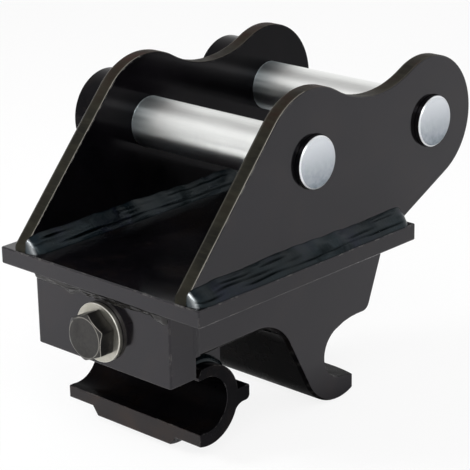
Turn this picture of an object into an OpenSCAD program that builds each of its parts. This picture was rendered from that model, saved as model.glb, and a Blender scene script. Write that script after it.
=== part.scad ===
// Screw-operated quick coupler for a small excavator.
// Two ears on a base plate take the arm's two pins. Under the plate a fixed hook
// and a sliding jaw, driven by a hexagon-headed spindle, grip the two pins of an attachment.
// X runs from the spindle head (front) to the hook (rear), Z is up, and the origin
// lies on the front pin's axis, midway between the ears.

/* [Base plate] */
// Length of the base plate, front to rear
plate_length = 180; // [170:1:200]
// Width of the base plate
plate_width = 154; // [150:1:180]
// Thickness of the base plate
plate_thickness = 10; // [8:0.5:14]

/* [Ears] */
// Clear gap between the two ears
ear_gap = 114.5; // [100:0.5:118]
// Thickness of each ear
ear_thickness = 10; // [8:0.5:12]
// Radius of the ear's lobe round the front pin
front_lobe_radius = 41; // [34:0.5:46]
// Radius of the ear's lobe round the rear pin
rear_lobe_radius = 38; // [32:0.5:42]
// Radius of the hollow between the two lobes
saddle_radius = 68; // [60:1:90]
// Height of the square toe at the ear's front foot
toe_height = 3; // [1:0.5:6]

/* [Pins] */
// Diameter of both arm pins
pin_diameter = 30; // [25:0.5:35]
// Distance between the two pin axes
pin_spacing = 104; // [96:1:112]
// Height of the pin axes above the base plate
pin_height = 54; // [48:1:60]
// Distance of the front pin's axis behind the plate's front edge
front_pin_setback = 101.5; // [94:0.5:108]
// How far each pin stands out of the near ear
pin_proud = 4; // [2:0.5:8]
// How far each pin's far end lies inside its collar
pin_inset = 2; // [1:0.5:5]
// Width of the relief groove at each ear face
groove_width = 2; // [1:0.5:3]
// Depth of the relief groove
groove_depth = 0.5; // [0.3:0.1:0.8]

/* [Pin collars] */
// Outside diameter of the collars on the far ear
collar_diameter = 52; // [48:1:60]
// Length of the collars
collar_length = 28; // [24:1:34]
// Thread diameter of the lock bolts
lock_bolt_diameter = 10; // [8:1:12]
// Width across flats of the lock bolts' heads
lock_bolt_flats = 16; // [15:1:18]
// Height of the lock bolts' heads
lock_head_height = 6.4; // [5:0.2:8]
// Thickness of the lock bolts' spring washers
lock_washer_thickness = 2.6; // [2:0.1:3.2]

/* [Thrust block] */
// Width shared by the block, hook and jaw
body_width = 104.5; // [98:0.5:112]
// Height of the thrust block under the base plate
block_height = 42.4; // [38:0.2:46]
// Depth of the thrust block, front to rear
block_depth = 20; // [16:0.5:24]
// Distance of the block's front face behind the plate's front edge
block_setback = 3; // [2:0.5:5]

/* [Spindle] */
// Thread diameter of the spindle
spindle_diameter = 16; // [14:0.5:18]
// Width across flats of the spindle's head
spindle_flats = 24.5; // [22:0.5:27]
// Height of the spindle's head
spindle_head_height = 10; // [8:0.5:12]
// Depth of the spindle's axis under the base plate
spindle_depth = 22; // [19:0.5:24]
// Outside diameter of the spindle's washer
washer_diameter = 34; // [30:0.5:36]
// Thickness of the spindle's washer
washer_thickness = 3; // [2:0.5:4]
// Outside diameter of the stop ring behind the block
ring_diameter = 26; // [24:0.5:28]
// Length of the stop ring
ring_length = 8; // [7:0.5:9]
// Diameter of the roll pin through the stop ring
roll_pin_diameter = 4; // [3:0.5:5]

/* [Sliding jaw] */
// Radius of the jaw's seat
jaw_seat_radius = 16; // [15:0.1:16.5]
// Wall thickness of the jaw round its seat
jaw_wall = 7.4; // [6.4:0.2:9]
// How far the jaw's outer round lies behind its seat
jaw_back_offset = 1.5; // [0:0.1:2]
// How far the jaw's outer round lies below its seat
jaw_drop = 1; // [0:0.1:1.5]
// Distance of the seat's axis behind the plate's front edge
jaw_seat_setback = 30.1; // [29.6:0.1:31]
// Depth of the seat's axis under the base plate
jaw_seat_depth = 60.1; // [59.8:0.1:62]
// How far the jaw's lips reach in front of the seat's axis
jaw_lip_reach = 6.2; // [4:0.2:6.6]
// Height of the jaw's mouth between its lips
jaw_mouth = 31.6; // [29.4:0.1:31.7]
// Travel of the jaw from closed to open
jaw_travel = 25; // [20:1:27]
// Height of the rib that stiffens the jaw underneath
rib_height = 5; // [3:0.5:6]
// Width of that rib where it leaves the jaw
rib_width = 66; // [50:1:80]
// Reach of the heel behind the jaw's outer round
heel_reach = 9.3; // [6:0.1:11]
// Height of the heel's top above the seat's axis
heel_top = 1.6; // [0:0.1:3]
// Height of the heel
heel_height = 9; // [7:0.2:12]
// Radius of the hollow under the heel
heel_fillet = 8; // [4:0.5:9]
// Length of the slide above the jaw
slide_length = 28; // [26:0.5:30]

/* [Side walls] */
// Thickness of the hook body's two side walls
side_thickness = 10; // [8:0.5:12]
// Depth of the side walls under the base plate
side_depth = 30.4; // [29:0.2:32]
// Radius of the arch in front of the hook
arch_radius = 29; // [24:0.5:32]
// Width and height of the rails that carry the slide
rail_size = 8; // [6:0.5:9]

/* [Hook] */
// Radius of the hook's seat
hook_seat_radius = 16; // [15:0.1:16.5]
// Distance of the hook seat's axis behind the plate's front edge
hook_seat_setback = 144.5; // [140:0.5:150]
// Depth of the hook seat's axis under the base plate
hook_seat_depth = 64.5; // [62:0.5:68]
// Thickness of the hook under its seat
hook_floor = 13.2; // [11:0.2:16]
// Radius of the hook's round back
hook_back_radius = 30; // [27:0.5:32]
// How far the back's centre lies in front of the seat's axis
hook_back_offset = 4; // [3:0.5:6]
// Slope of the hook's front face from level
hook_leg_slope = 62; // [56:1:68]
// How far the hook's lip reaches behind the seat's axis
hook_lip_reach = 12.5; // [11:0.5:14]
// How far the lip's rear edge falls back at each side, seen from above
lip_ease = 3.5; // [2:0.5:5]
// Width over which it falls back
lip_ease_width = 20; // [14:1:24]
// How far the hook's upper jaw stops short of the plate's rear edge
upper_jaw_inset = 13; // [10:0.5:16]
// Depth of the upper jaw's rear corner under the base plate
upper_jaw_depth = 45.8; // [44:0.2:48]

/* [Welds] */
// Leg of the weld beads along the ears
ear_weld = 9.6; // [6:0.2:9.7]
// How far behind the ears' toes the two beads begin that the ears hide
hidden_weld_setback = 14; // [0:1:30]
// Leg of the beads under the base plate
lower_weld = 7; // [4:0.5:9]
// Leg of the small beads
small_weld = 3.5; // [2:0.5:5]

/* [Hidden] */

$fn = 96;
// Angle between two points of an arc in an outline
arc_step = 4;
// Clearances: running fit on a shaft, sliding faces, bolt hole, and flat faces that must not rub
running = 0.05;
sliding = 0.3;
bolt_hole_clearance = 0.5;
tip_clearance = 0.15;
standoff = 1;
// Space kept behind the slide at full travel, and from the spindle's end to the channel's end
spindle_overrun = 3;
rail_overrun = 4;
channel_gap = 12;
// Distance of the ears' and beads' ends from the base plate's ends
foot_inset = 1;
// Chamfers on turned pieces
turned_chamfer = 1.5;
// Overshoot of a cut past the face that it leaves through
past = 1;

// Levels and faces that several pieces share
plate_top = -pin_height;
plate_under = plate_top - plate_thickness;
plate_front = -front_pin_setback;
plate_rear = plate_front + plate_length;
ear_inner = ear_gap/2;
ear_outer = ear_inner + ear_thickness;
lock_y = ear_outer + collar_length/2;
lock_seat_radius = lock_bolt_diameter*0.95;
pin_radius = pin_diameter/2;
pin_near_end = -(ear_outer + pin_proud);
pin_far_end = ear_outer + collar_length - pin_inset;
collar_radius = collar_diameter/2;
// The lock bolt's flat seat is cut just deep enough to be a full disc
lock_seat_depth = collar_radius - sqrt(pow(collar_radius, 2) - pow(lock_seat_radius, 2)) + 0.2;
half_width = body_width/2;
side_inner = half_width - side_thickness;
block_front = plate_front + block_setback;
block_rear = block_front + block_depth;
block_under = plate_under - block_height;
side_under = plate_under - side_depth;

// Ear outline: lobe centres, hollow centre and the tangent angles between them
front_axis = [0, 0];
rear_axis = [pin_spacing, 0];
toe = [plate_front + foot_inset, plate_top + toe_height];
hidden_weld_start = toe[0] + hidden_weld_setback;
foot = [plate_rear, plate_top];
saddle_axis = circles_meet(front_axis, front_lobe_radius + saddle_radius,
                           rear_axis, rear_lobe_radius + saddle_radius);
saddle_from_front = bearing(front_axis, saddle_axis);
saddle_from_rear = bearing(rear_axis, saddle_axis);

// Spindle stations along X
spindle_z = plate_under - spindle_depth;
washer_front = block_front - washer_thickness;
slide_front = block_rear + standoff;
slide_rear = slide_front + slide_length;
spindle_end = slide_rear + jaw_travel + spindle_overrun;
ring_front = block_rear + sliding;
ring_pocket_depth = ring_length + standoff;
spindle_radius = spindle_diameter/2;

// Jaw and hook seats
jaw_x = plate_front + jaw_seat_setback;
jaw_z = plate_under - jaw_seat_depth;
jaw_outer = jaw_seat_radius + jaw_wall;
// Middle of the jaw's outer round, measured from the seat's axis and in the assembly
round_offset = [jaw_back_offset, -jaw_drop];
round_axis = [jaw_x, jaw_z] + round_offset;
// Angle at which the slide's rear face leaves the jaw's outer round
slide_rear_angle = acos((slide_rear - round_axis[0])/jaw_outer);
slide_front_angle = acos((slide_front - round_axis[0])/jaw_outer);
slide_foot = round_axis[1] + jaw_outer*sin(slide_rear_angle);
jaw_tip = jaw_x - jaw_lip_reach;
hook_x = plate_front + hook_seat_setback;
hook_z = plate_under - hook_seat_depth;
hook_under = hook_z - hook_seat_radius - hook_floor;
hook_tip = hook_x + hook_lip_reach;
channel_rear = spindle_end + channel_gap;
rail_top = side_under + rail_size;
rail_inner = side_inner - rail_size;
rail_end = slide_rear + jaw_travel + rail_overrun;

// Hook outline: back arc, sloping leg and arch, each tangent to the next
back_axis = [hook_x - hook_back_offset, hook_under + hook_back_radius];
leg_normal = 90 - hook_leg_slope;
leg_foot = back_axis - polar(hook_back_radius, leg_normal);
arch_z = side_under - arch_radius;
leg_head_z = arch_z + arch_radius*sin(leg_normal);
leg_head_x = leg_foot[0] - (leg_head_z - leg_foot[1])/tan(hook_leg_slope);
arch_axis = [leg_head_x - arch_radius*cos(leg_normal), arch_z];
upper_corner = [plate_rear - upper_jaw_inset, plate_under - upper_jaw_depth];
rear_break = plate_under - 14;

function polar(r, a) = [r*cos(a), r*sin(a)];
function bearing(p, q) = atan2(q[1] - p[1], q[0] - p[0]);
function arc(c, r, from, to) =
    let (steps = ceil(abs(to - from)/arc_step))
    [for (i = [0:steps]) c + polar(r, from + (to - from)*i/steps)];
// Where the tangent from point p touches a circle, as an angle at the circle's centre
function touch(p, c, r, side) = bearing(c, p) + side*acos(r/norm(p - c));
// The upper of the two points where two circles meet
function circles_meet(c1, r1, c2, r2) =
    let (d = norm(c2 - c1), along = (d*d + r1*r1 - r2*r2)/(2*d))
    c1 + [along, sqrt(r1*r1 - along*along)];

// An outline drawn in X and Z, with thickness along Y
module slab(y_low, y_high) {
    translate([0, y_high, 0]) rotate([90, 0, 0]) linear_extrude(y_high - y_low) children();
}

module rod_y(at, r, y_low, y_high) {
    translate([at[0], y_high, at[1]]) rotate([90, 0, 0]) cylinder(r = r, h = y_high - y_low);
}

module rod_x(z, r, x_low, x_high) {
    translate([x_low, 0, z]) rotate([0, 90, 0]) cylinder(r = r, h = x_high - x_low);
}

module box(low, high) {
    translate(low) cube(high - low);
}

module base_plate() {
    color([0.16, 0.16, 0.17])
    box([plate_front, -plate_width/2, plate_under], [plate_rear, plate_width/2, plate_top]);
}

module ear_outline() {
    toe_touch = touch(toe, front_axis, front_lobe_radius, -1);
    foot_touch = touch(foot, rear_axis, rear_lobe_radius, 1);
    polygon(concat(
        [[toe[0], plate_top], toe],
        arc(front_axis, front_lobe_radius, toe_touch + (toe_touch < 0 ? 360 : 0), saddle_from_front),
        arc(saddle_axis, saddle_radius, saddle_from_front + 180, saddle_from_rear + 180),
        arc(rear_axis, rear_lobe_radius, saddle_from_rear, foot_touch),
        [foot]));
}

module ear(y_low, y_high) {
    difference() {
        slab(y_low, y_high) ear_outline();
        for (axis = [front_axis, rear_axis])
            rod_y(axis, pin_radius + running, y_low - past, y_high + past);
    }
}

module near_ear() { color([0.17, 0.17, 0.18]) ear(-ear_outer, -ear_inner); }
module far_ear() { color([0.17, 0.17, 0.18]) ear(ear_inner, ear_outer); }

// Plain pin with turned chamfers and a relief groove at each ear face
module arm_pin(axis) {
    rim = pin_radius - turned_chamfer;
    length = pin_far_end - pin_near_end;
    difference() {
        translate([axis[0], pin_near_end, axis[1]]) rotate([-90, 0, 0]) rotate_extrude()
            polygon([[0, 0], [rim, 0], [pin_radius, turned_chamfer],
                     [pin_radius, length - turned_chamfer], [rim, length], [0, length]]);
        for (face = [-ear_inner, ear_inner])
            difference() {
                rod_y(axis, pin_radius + past, face - groove_width/2, face + groove_width/2);
                rod_y(axis, pin_radius - groove_depth, face - groove_width, face + groove_width);
            }
    }
}

module front_pin() { color([0.8, 0.81, 0.83]) arm_pin(front_axis); }
module rear_pin() { color([0.8, 0.81, 0.83]) arm_pin(rear_axis); }

// Collar on the far ear, tapped from below for its lock bolt
module collar(axis) {
    difference() {
        translate([axis[0], ear_outer, axis[1]]) rotate([-90, 0, 0]) rotate_extrude()
            polygon([[pin_radius + running, 0], [collar_radius, 0],
                     [collar_radius, collar_length - turned_chamfer],
                     [collar_radius - turned_chamfer, collar_length],
                     [pin_radius + running, collar_length]]);
        translate([axis[0], lock_y, axis[1] - collar_radius - past])
            cylinder(d = lock_bolt_diameter + 2*running, h = collar_radius - pin_radius/2 + past);
        translate([axis[0], lock_y, axis[1] - collar_radius - past])
            cylinder(r = lock_seat_radius, h = lock_seat_depth + past);
    }
}

module front_collar() { color([0.16, 0.16, 0.17]) collar(front_axis); }
module rear_collar() { color([0.16, 0.16, 0.17]) collar(rear_axis); }

// Hexagon head standing on z = 0, its upper corners turned off by a 30 degree cone
module hex_head(flats, height) {
    corners = flats/cos(30);
    face = flats*0.95/2;
    intersection() {
        cylinder(d = corners, h = height, $fn = 6);
        rotate_extrude()
            polygon([[0, -past], [corners, -past], [corners, height - (corners - face)*tan(30)],
                     [face, height], [0, height]]);
    }
}

// Lock bolt whose tip clears the pin by a hair
module lock_bolt(axis) {
    seat = collar_radius - lock_seat_depth + lock_washer_thickness;
    translate([axis[0], lock_y, axis[1]]) rotate([180, 0, 0]) {
        translate([0, 0, seat]) hex_head(lock_bolt_flats, lock_head_height);
        translate([0, 0, pin_radius + tip_clearance])
            cylinder(d = lock_bolt_diameter, h = seat - pin_radius - tip_clearance);
    }
}

// Split spring washer on the collar's flat seat
module lock_washer(axis) {
    translate([axis[0], lock_y, axis[1] - collar_radius + lock_seat_depth - lock_washer_thickness])
    difference() {
        cylinder(d = lock_bolt_diameter*1.75, h = lock_washer_thickness);
        translate([0, 0, -past])
            cylinder(d = lock_bolt_diameter + 0.6, h = lock_washer_thickness + 2*past);
        translate([lock_bolt_diameter/2 - 1, -0.6, -past])
            cube([lock_bolt_diameter, 1.2, lock_washer_thickness + 2*past]);
    }
}

module front_lock_bolt() { color([0.5, 0.5, 0.48]) lock_bolt(front_axis); }
module rear_lock_bolt() { color([0.5, 0.5, 0.48]) lock_bolt(rear_axis); }
module front_lock_washer() { color([0.6, 0.6, 0.58]) lock_washer(front_axis); }
module rear_lock_washer() { color([0.6, 0.6, 0.58]) lock_washer(rear_axis); }

module thrust_block() {
    color([0.2, 0.2, 0.2])
    difference() {
        box([block_front, -half_width, block_under], [block_rear, half_width, plate_under]);
        rod_x(spindle_z, spindle_radius + bolt_hole_clearance, block_front - past, block_rear + past);
    }
}

// Spindle with the bolt head turned as the photograph shows it
module spindle() {
    head_turn = -7;
    shank = spindle_end - washer_front;
    color([0.3, 0.3, 0.3])
    difference() {
        union() {
            translate([washer_front, 0, spindle_z]) rotate([0, -90, 0]) rotate([0, 0, head_turn])
                hex_head(spindle_flats, spindle_head_height);
            translate([washer_front, 0, spindle_z]) rotate([0, 90, 0]) rotate_extrude()
                polygon([[0, 0], [spindle_radius, 0], [spindle_radius, shank - turned_chamfer],
                         [spindle_radius - turned_chamfer, shank], [0, shank]]);
        }
        roll_pin_hole();
    }
}

module roll_pin_hole() {
    translate([ring_front + ring_length/2, 0, spindle_z - ring_diameter])
        cylinder(d = roll_pin_diameter + running, h = 2*ring_diameter, $fn = 32);
}

module spindle_washer() {
    color([0.75, 0.74, 0.7])
    difference() {
        rod_x(spindle_z, washer_diameter/2, washer_front, block_front);
        rod_x(spindle_z, spindle_radius + bolt_hole_clearance, washer_front - past, block_front + past);
    }
}

// Ring pinned to the spindle behind the block, so that the spindle can also pull the jaw back
module stop_ring() {
    color([0.35, 0.35, 0.36])
    difference() {
        rod_x(spindle_z, ring_diameter/2, ring_front, ring_front + ring_length);
        rod_x(spindle_z, spindle_radius + running, ring_front - past, ring_front + ring_length + past);
        roll_pin_hole();
    }
}

module roll_pin() {
    color([0.55, 0.55, 0.56])
    translate([ring_front + ring_length/2, 0, spindle_z - ring_diameter/2 + 0.5])
        cylinder(d = roll_pin_diameter, h = ring_diameter - 1, $fn = 32);
}

// Round part of the jaw, cut off at the lips and with the upper lip bevelled
module jaw_ring_outline() {
    bevel = 3.5;
    lip_top = round_offset[1] + sqrt(pow(jaw_outer, 2) - pow(jaw_lip_reach + jaw_back_offset, 2));
    difference() {
        translate(round_offset) circle(r = jaw_outer);
        translate([-jaw_outer*2 - jaw_lip_reach, -jaw_outer*2])
            square([jaw_outer*2, jaw_outer*4]);
        polygon([[-jaw_lip_reach - past, lip_top + bevel], [-jaw_lip_reach - past, lip_top - bevel],
                 [-jaw_lip_reach, lip_top - bevel], [-jaw_lip_reach + bevel*1.4, lip_top + bevel]]);
    }
}

// Heel: a level bar behind the jaw, rounded below and faired into the outer round
module heel_outline() {
    rear = round_offset[0] + jaw_outer + heel_reach;
    root = jaw_seat_radius + jaw_wall/2;
    edge = 0.8;
    low = heel_top - heel_height;
    turn = 3;
    inside = jaw_outer - sliding;
    fair_z = low - heel_fillet;
    fair_axis = [round_offset[0] + sqrt(pow(inside + heel_fillet, 2) - pow(fair_z - round_offset[1], 2)),
                 fair_z];
    fair_end = bearing(fair_axis, round_offset);
    polygon(concat(
        [[root, fair_z + heel_fillet*0.4], [root, heel_top], [rear - edge, heel_top], [rear, heel_top - edge]],
        arc([rear - turn, low + turn], turn, 0, -90),
        arc(fair_axis, heel_fillet, 90, fair_end)));
}

// Jaw with its seat and heel over the full width and a shorter rib wrapped round its underside
module sliding_jaw() {
    rib_outer = jaw_outer + rib_height;
    rib_root = jaw_outer - 2;
    rib_slant = 0.8;
    outer_half = rib_width/2 - rib_slant*rib_height;
    root_half = rib_width/2 + rib_slant*(jaw_outer - rib_root);
    color([0.17, 0.17, 0.18])
    difference() {
        union() {
            slab(-half_width, half_width) translate([jaw_x, jaw_z]) {
                jaw_ring_outline();
                heel_outline();
            }
            intersection() {
                translate([round_axis[0], 0, round_axis[1]]) rotate([90, 0, 0]) rotate([0, 0, 245])
                    rotate_extrude(angle = 85)
                    polygon([[rib_root, -root_half], [rib_outer, -outer_half],
                             [rib_outer, outer_half], [rib_root, root_half]]);
                box([jaw_tip, -rib_width, jaw_z - 2*rib_outer], [jaw_x + 2*rib_outer, rib_width, jaw_z]);
            }
        }
        rod_y([jaw_x, jaw_z], jaw_seat_radius, -half_width - past, half_width + past);
        box([jaw_tip - past, -half_width - past, jaw_z - jaw_mouth/2],
            [jaw_x, half_width + past, jaw_z + jaw_mouth/2]);
    }
}

// Slide that runs on the two rails and carries the spindle's thread
module jaw_slide() {
    wide = side_inner - sliding;
    color([0.19, 0.19, 0.2])
    difference() {
        box([slide_front, -wide, slide_foot - 2], [slide_rear, wide, plate_under - sliding*2]);
        rod_y(round_axis, jaw_outer, -half_width, half_width);
        for (side = [-1, 1])
            translate([slide_front - past, side*(rail_inner - sliding) + (side < 0 ? -rail_size*2 : 0),
                       side_under - sliding])
                cube([slide_length + 2*past, rail_size*2, rail_size + 2*sliding]);
        rod_x(spindle_z, spindle_radius + running, slide_front - past, slide_rear + past);
        rod_x(spindle_z, ring_diameter/2 + standoff, slide_front - past, slide_front + ring_pocket_depth);
    }
}

// Beads that join the slide to the jaw, one behind it and one along each side
module jaw_welds() {
    long = side_inner - 4;
    toe_angle = slide_rear_angle - 13;
    wide = side_inner - sliding;
    color([0.22, 0.23, 0.26]) {
        slab(-long, long) difference() {
            polygon([[slide_rear, slide_foot - 2], round_axis + polar(jaw_outer - 1, toe_angle),
                     round_axis + polar(jaw_outer, toe_angle),
                     round_axis + polar(jaw_outer + 1.4, toe_angle + 9),
                     [slide_rear + 0.8, slide_foot + 4.4], [slide_rear, slide_foot + 5]]);
            translate(round_axis) circle(r = jaw_outer);
        }
        for (side = [-1, 1])
            translate([round_axis[0], side*wide, round_axis[1]]) rotate([90, 0, 0])
                rotate([0, 0, slide_rear_angle + 4])
                rotate_extrude(angle = slide_front_angle - slide_rear_angle - 10)
                polygon([[jaw_outer, 0], [jaw_outer + small_weld, 0],
                         [jaw_outer + small_weld*0.55, -side*small_weld*0.55],
                         [jaw_outer, -side*small_weld]]);
    }
}

// Outline of the hook and its side walls, with the mouth still filled
module hook_body_outline() {
    tip_round = 8;
    corner_round = 6;
    tip_back = hook_back_radius - tip_round;
    tip_x = hook_tip - tip_round;
    tip_axis = [tip_x, back_axis[1] - sqrt(tip_back*tip_back - pow(tip_x - back_axis[0], 2))];
    tip_start = 360 + bearing(back_axis, tip_axis);
    rear_slope = bearing(upper_corner, [plate_rear, rear_break]);
    corner_axis = upper_corner + [-corner_round*0.6, corner_round];
    polygon(concat(
        [[block_rear, plate_under], [block_rear, side_under]],
        arc(arch_axis, arch_radius, 90, leg_normal),
        arc(back_axis, hook_back_radius, 180 + leg_normal, tip_start),
        arc(tip_axis, tip_round, tip_start, 360),
        [[hook_tip, upper_corner[1]]],
        arc(corner_axis, corner_round, 270, 270 + rear_slope),
        [[plate_rear, rear_break], [plate_rear, plate_under]]));
}

// The seat and its mouth, cut through along Y
module hook_mouth(y_low, y_high) {
    rod_y([hook_x, hook_z], hook_seat_radius, y_low, y_high);
    inside = hook_seat_radius*0.995;
    top_start = [hook_x, hook_z] + polar(inside, 110);
    low_start = [hook_x, hook_z] + polar(inside, 265);
    lip_fall = 2.6;
    slab(y_low, y_high)
        polygon([[hook_x, hook_z], top_start, [hook_x + 1, upper_corner[1] - 1.4],
                 [hook_x + 8, upper_corner[1] - 0.2], [hook_tip + past, upper_corner[1]],
                 [hook_tip + past, hook_z - hook_seat_radius - lip_fall], low_start]);
}

// What the lip's rear edge falls back at each side, a shallow arc in plan
module lip_corner_cut(side) {
    from_low = side < 0 ? 1 : 0;
    ease_radius = (lip_ease_width*lip_ease_width + lip_ease*lip_ease)/(2*lip_ease);
    ease_centre = [hook_tip - ease_radius, half_width - lip_ease_width];
    translate([0, 0, hook_under - past]) mirror([0, from_low, 0])
        linear_extrude(hook_seat_radius + hook_floor)
        polygon(concat([[hook_tip + past, half_width - lip_ease_width]],
                       arc(ease_centre, ease_radius, 0, asin(lip_ease_width/ease_radius)),
                       [[hook_tip - lip_ease, half_width + past], [hook_tip + past, half_width + past]]));
}

// Hook and its two side walls in one piece, with the channel for the slide between the walls;
// the channel's rear end leaves room for the spindle's end
module hook_body() {
    color([0.17, 0.17, 0.18])
    difference() {
        slab(-half_width, half_width) hook_body_outline();
        hook_mouth(-half_width - past, half_width + past);
        for (side = [-1, 1]) lip_corner_cut(side);
        box([block_rear - past, -side_inner, hook_under], [channel_rear, side_inner, plate_under + past]);
    }
}

// Rails inside the side walls, tapered at the rear end
module rail(side) {
    slab(side < 0 ? -side_inner : rail_inner, side < 0 ? -rail_inner : side_inner)
        polygon([[block_rear, side_under], [rail_end, side_under], [rail_end, side_under + rail_size/2],
                 [rail_end - rail_size/2, rail_top], [block_rear, rail_top]]);
}

module near_rail() { color([0.25, 0.25, 0.26]) rail(-1); }
module far_rail() { color([0.25, 0.25, 0.26]) rail(1); }

// A crowned fillet bead along X with rounded ends, in the corner at y and z;
// out is the side in Y that it lies on, and up the side in Z
module bead_x(x_low, x_high, y, z, leg, out, up) {
    length = x_high - x_low;
    sink = 0.7*leg;
    lean = atan2(sink, leg + sink);
    crown = norm([leg + sink, sink]);
    translate([x_low, y, z]) mirror([0, out < 0 ? 1 : 0, 0]) mirror([0, 0, up < 0 ? 1 : 0])
    intersection() {
        rotate([90, 0, 90]) linear_extrude(length)
            polygon(concat([[0, 0]], arc([-sink, -sink], crown, lean, 90 - lean)));
        slab(-past, leg + past)
            polygon(concat([[0, -past]], arc([leg, 0], leg, 180, 90),
                           arc([length - leg, 0], leg, 90, 0), [[length, -past]]));
    }
}

module near_ear_outer_weld() {
    color([0.2, 0.22, 0.26])
    bead_x(toe[0], plate_rear - foot_inset, -ear_outer, plate_top, ear_weld, -1, 1);
}
module near_ear_inner_weld() {
    color([0.2, 0.22, 0.26])
    bead_x(hidden_weld_start, plate_rear - foot_inset, -ear_inner, plate_top, ear_weld, 1, 1);
}
module far_ear_outer_weld() {
    color([0.2, 0.22, 0.26])
    bead_x(hidden_weld_start, plate_rear - foot_inset, ear_outer, plate_top, ear_weld, 1, 1);
}
module far_ear_inner_weld() {
    color([0.2, 0.22, 0.26])
    bead_x(toe[0], plate_rear - foot_inset, ear_inner, plate_top, ear_weld, -1, 1);
}
module near_side_weld() {
    color([0.2, 0.21, 0.23])
    bead_x(block_rear, plate_rear - 2*foot_inset, -half_width, plate_under, lower_weld, -1, -1);
}
module far_side_weld() {
    color([0.2, 0.21, 0.23])
    bead_x(block_rear, plate_rear - 2*foot_inset, half_width, plate_under, lower_weld, 1, -1);
}

// Bead across the front of the thrust block, no deeper than the block's setback
module thrust_block_weld() {
    leg = min(block_setback, lower_weld);
    color([0.22, 0.22, 0.23])
    slab(-half_width + 1, half_width - 1)
        polygon([[block_front, plate_under], [block_front - leg, plate_under],
                 [block_front - leg*0.5, plate_under - leg*0.9], [block_front, plate_under - leg*1.3]]);
}

// Bead across the channel's rear end, under the base plate
module hook_weld() {
    color([0.2, 0.21, 0.23])
    slab(-side_inner + 1, side_inner - 1)
        polygon([[channel_rear, plate_under], [channel_rear - lower_weld, plate_under],
                 [channel_rear - lower_weld*0.4, plate_under - lower_weld*0.4],
                 [channel_rear, plate_under - lower_weld]]);
}

module collar_weld(axis) {
    translate([axis[0], ear_outer, axis[1]]) rotate([-90, 0, 0]) rotate_extrude()
        polygon([[collar_radius, 0], [collar_radius + small_weld, 0],
                 [collar_radius + small_weld*0.45, small_weld*0.45], [collar_radius, small_weld]]);
}

module front_collar_weld() { color([0.2, 0.21, 0.23]) collar_weld(front_axis); }
module rear_collar_weld() { color([0.2, 0.21, 0.23]) collar_weld(rear_axis); }

base_plate();
near_ear();
far_ear();
front_pin();
rear_pin();
front_collar();
rear_collar();
front_lock_bolt();
rear_lock_bolt();
front_lock_washer();
rear_lock_washer();
thrust_block();
spindle();
spindle_washer();
stop_ring();
roll_pin();
sliding_jaw();
jaw_slide();
jaw_welds();
hook_body();
near_rail();
far_rail();
near_ear_outer_weld();
near_ear_inner_weld();
far_ear_outer_weld();
far_ear_inner_weld();
thrust_block_weld();
near_side_weld();
far_side_weld();
hook_weld();
front_collar_weld();
rear_collar_weld();
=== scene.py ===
from math import copysign, cos, degrees, exp, log, pi, radians, sin, sqrt, tan

import bmesh
import bpy
from mathutils import Matrix, Vector, noise


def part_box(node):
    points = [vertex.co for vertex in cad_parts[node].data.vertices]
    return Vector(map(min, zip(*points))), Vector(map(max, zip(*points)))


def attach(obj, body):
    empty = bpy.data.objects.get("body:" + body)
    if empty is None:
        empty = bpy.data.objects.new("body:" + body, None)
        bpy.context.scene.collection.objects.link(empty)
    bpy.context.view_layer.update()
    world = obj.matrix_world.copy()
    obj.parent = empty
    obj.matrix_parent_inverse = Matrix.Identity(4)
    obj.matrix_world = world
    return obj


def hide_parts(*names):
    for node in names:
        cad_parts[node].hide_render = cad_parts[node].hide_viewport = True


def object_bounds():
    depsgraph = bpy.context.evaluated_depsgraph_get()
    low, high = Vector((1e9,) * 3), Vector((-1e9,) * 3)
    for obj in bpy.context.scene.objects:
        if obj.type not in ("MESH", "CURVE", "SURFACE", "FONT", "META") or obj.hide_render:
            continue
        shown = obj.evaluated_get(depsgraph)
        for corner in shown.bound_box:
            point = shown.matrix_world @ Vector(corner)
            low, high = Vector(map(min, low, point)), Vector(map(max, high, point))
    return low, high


# Quick coupler for a small excavator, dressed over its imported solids.
# Metres: X runs from the spindle head to the hook, Z is up, the origin lies on the front pin's axis.
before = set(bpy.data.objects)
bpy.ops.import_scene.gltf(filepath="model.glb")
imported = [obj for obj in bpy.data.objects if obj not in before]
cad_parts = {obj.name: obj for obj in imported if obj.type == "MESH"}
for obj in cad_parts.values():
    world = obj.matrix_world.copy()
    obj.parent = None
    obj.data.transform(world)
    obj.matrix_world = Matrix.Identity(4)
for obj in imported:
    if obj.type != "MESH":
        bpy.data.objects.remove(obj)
cadLow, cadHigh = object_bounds()
mm = 0.001
print("frame loaded with", len(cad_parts), "nodes")


# Shader groups and materials

def addNode(tree, kind, **settings):
    node = tree.nodes.new("ShaderNode" + kind)
    for name, value in settings.items():
        setattr(node, name, value)
    return node


# A shader group: named inputs with their usual values, named outputs with their kinds
def newGroup(name, inputs, outputs):
    group = bpy.data.node_groups.new(name, "ShaderNodeTree")
    for label, value in inputs.items():
        kind = "Float" if isinstance(value, float) else "Vector" if len(value) == 3 else "Color"
        socket = group.interface.new_socket(name=label, in_out="INPUT", socket_type="NodeSocket" + kind)
        socket.default_value = value
    for label, kind in outputs.items():
        group.interface.new_socket(name=label, in_out="OUTPUT", socket_type="NodeSocket" + kind)
    return group, group.nodes.new("NodeGroupInput"), group.nodes.new("NodeGroupOutput")


# Links a socket to another one, or gives it a plain value
def feed(tree, value, socket):
    if hasattr(value, "default_value"):
        tree.links.new(value, socket)
    else:
        socket.default_value = value


def scaledNoise(tree, vector, scale, detail, rough=0.55, distortion=0.0):
    field = addNode(tree, "TexNoise")
    field.inputs["Detail"].default_value = detail
    field.inputs["Roughness"].default_value = rough
    field.inputs["Distortion"].default_value = distortion
    feed(tree, scale, field.inputs["Scale"])
    feed(tree, vector, field.inputs["Vector"])
    return field.outputs["Fac"]


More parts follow.
